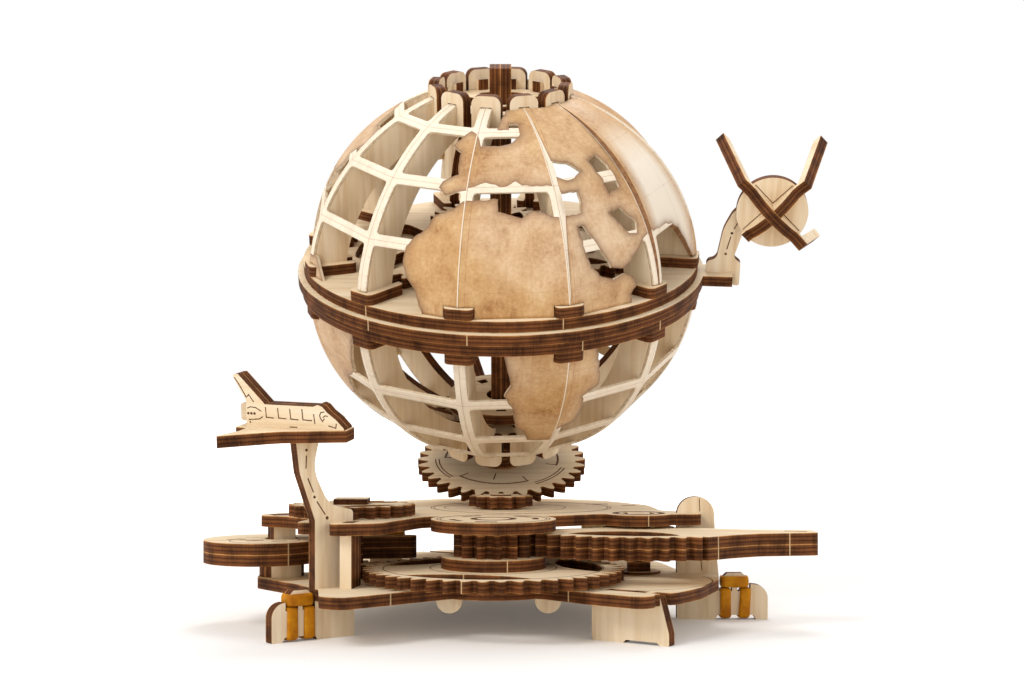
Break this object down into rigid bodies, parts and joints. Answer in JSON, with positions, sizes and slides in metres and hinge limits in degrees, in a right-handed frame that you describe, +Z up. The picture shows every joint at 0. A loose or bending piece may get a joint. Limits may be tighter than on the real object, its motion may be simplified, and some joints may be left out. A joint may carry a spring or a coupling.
{
  "type": "mechanical plywood globe",
  "caption": "Mechanical plywood globe on a tilted axis, turned by a lever and gear train on a two-plate base, with a shuttle on a stand and a satellite on a ring.",
  "frame": {"origin": "on the table under the centre of the model's box", "axes": "+Z up, the front of the model with the lever and the front foot faces -Y, the satellite is on the +X side"},
  "size_m": [0.2317, 0.18, 0.2084],
  "materials": {
    "birch_ply": "bare matte plywood",
    "dark_edge_ply": "bare plywood with laser-burnt dark edges",
    "map_sheet": "thin plywood with a printed tan map",
    "rubber": "translucent amber rubber"
  },
  "bodies": {
    "base": {"lower_base_plate": "dark_edge_ply", "upper_base_plate": "dark_edge_ply", "plate_spacers": "birch_ply", "shuttle_leg": "birch_ply", "front_leg": "birch_ply", "side_leg": "birch_ply", "rear_legs": "birch_ply", "side_leg_band": "rubber", "shuttle_leg_band": "rubber", "return_band": "rubber", "selector_column": "birch_ply", "shuttle_wing": "dark_edge_ply", "shuttle_fuselage": "birch_ply", "shuttle_engines": "birch_ply", "tilt_cheeks": "birch_ply", "tilt_bearing": "dark_edge_ply", "globe_post": "dark_edge_ply", "sun_gear": "birch_ply"},
    "drive_lever": {"lever_upper_ply": "dark_edge_ply", "lever_lower_ply": "dark_edge_ply", "lever_axle": "birch_ply"},
    "front_train": {"front_axle": "birch_ply", "drive_wheel": "dark_edge_ply", "drive_flange": "dark_edge_ply", "drive_pinion": "dark_edge_ply"},
    "centre_train": {"centre_axle": "birch_ply", "centre_pinion": "dark_edge_ply", "bevel_pinion": "dark_edge_ply"},
    "side_train": {"side_axle": "birch_ply", "side_pinion": "dark_edge_ply", "side_wheel": "dark_edge_ply", "side_clip": "birch_ply"},
    "selector_lever": {"selector_upper_ply": "dark_edge_ply", "selector_lower_ply": "dark_edge_ply"},
    "globe": {"globe_gear": "birch_ply", "hub_discs": "birch_ply", "lower_ribs": "birch_ply", "lower_clips": "birch_ply", "lower_shoes": "dark_edge_ply", "lower_equator_plate": "birch_ply", "upper_equator_plate": "birch_ply", "equator_spacers": "birch_ply", "upper_shoes": "dark_edge_ply", "upper_ribs": "birch_ply", "top_ring": "dark_edge_ply", "upper_clips": "dark_edge_ply", "north_gores_front": "map_sheet", "north_gores_right": "map_sheet", "north_gores_back": "map_sheet", "north_gores_left": "map_sheet", "south_gores_front": "map_sheet", "south_gores_right": "map_sheet", "south_gores_back": "map_sheet", "south_gores_left": "map_sheet"},
    "planet_1": {"planet_front": "birch_ply"},
    "planet_2": {"planet_right": "birch_ply"},
    "planet_3": {"planet_back": "birch_ply"},
    "turning_ring": {"orbit_ring": "dark_edge_ply", "satellite_bracket": "birch_ply", "satellite_dish": "birch_ply"}
  },
  "joints": [
    {"name": "globe_spin", "type": "hinge", "parent": "base", "child": "globe", "pos_m": [-0.0088, 0.016, 0.13145], "axis": [0, -0.3987, 0.9171], "range_deg": [0, 435]},
    {"name": "lever_swing", "type": "hinge", "parent": "base", "child": "drive_lever", "pos_m": [0.04182, -0.01643, 0.022], "axis": [0, 0, 1], "range_deg": [-76, 0]},
    {"name": "front_spin", "type": "hinge", "parent": "base", "child": "front_train", "pos_m": [-0.01103, -0.04453, 0.022], "axis": [0, 0, 1], "range_deg": [0, 292.5]},
    {"name": "centre_spin", "type": "hinge", "parent": "base", "child": "centre_train", "pos_m": [-0.0088, 0.00863, 0.022], "axis": [0, 0, 1], "range_deg": [-1345, 0]},
    {"name": "side_spin", "type": "hinge", "parent": "base", "child": "side_train", "pos_m": [-0.0619, -0.02898, 0.022], "axis": [0, 0, 1], "range_deg": [-1345, 0]},
    {"name": "selector_swing", "type": "hinge", "parent": "base", "child": "selector_lever", "pos_m": [-0.0878, -0.024, 0.026], "axis": [0, 0, 1], "range_deg": [-8, 8]},
    {"name": "planet_1_spin", "type": "hinge", "parent": "globe", "child": "planet_1", "pos_m": [-0.03422, -0.00499, 0.12233], "axis": [0, -0.3987, 0.9171], "range_deg": [0, 311]},
    {"name": "planet_2_spin", "type": "hinge", "parent": "globe", "child": "planet_2", "pos_m": [0.02373, 0.00631, 0.12724], "axis": [0, -0.3987, 0.9171], "range_deg": [0, 311]},
    {"name": "planet_3_spin", "type": "hinge", "parent": "globe", "child": "planet_3", "pos_m": [-0.01591, 0.04668, 0.14479], "axis": [0, -0.3987, 0.9171], "range_deg": [0, 311]},
    {"name": "ring_spin", "type": "hinge", "parent": "globe", "child": "turning_ring", "pos_m": [-0.0088, 0.016, 0.13145], "axis": [0, -0.3987, 0.9171], "range_deg": [0, 62.2]}
  ],
  "couplings": [
    {"joint": "lever_swing", "follows": "globe_spin", "ratio": -0.1747},
    {"joint": "front_spin", "follows": "globe_spin", "ratio": 0.67194},
    {"joint": "centre_spin", "follows": "globe_spin", "ratio": -3.0909},
    {"joint": "side_spin", "follows": "globe_spin", "ratio": -3.0909},
    {"joint": "planet_1_spin", "follows": "globe_spin", "ratio": 0.71429},
    {"joint": "planet_2_spin", "follows": "globe_spin", "ratio": 0.71429},
    {"joint": "planet_3_spin", "follows": "globe_spin", "ratio": 0.71429},
    {"joint": "ring_spin", "follows": "globe_spin", "ratio": 0.14286}
  ]
}
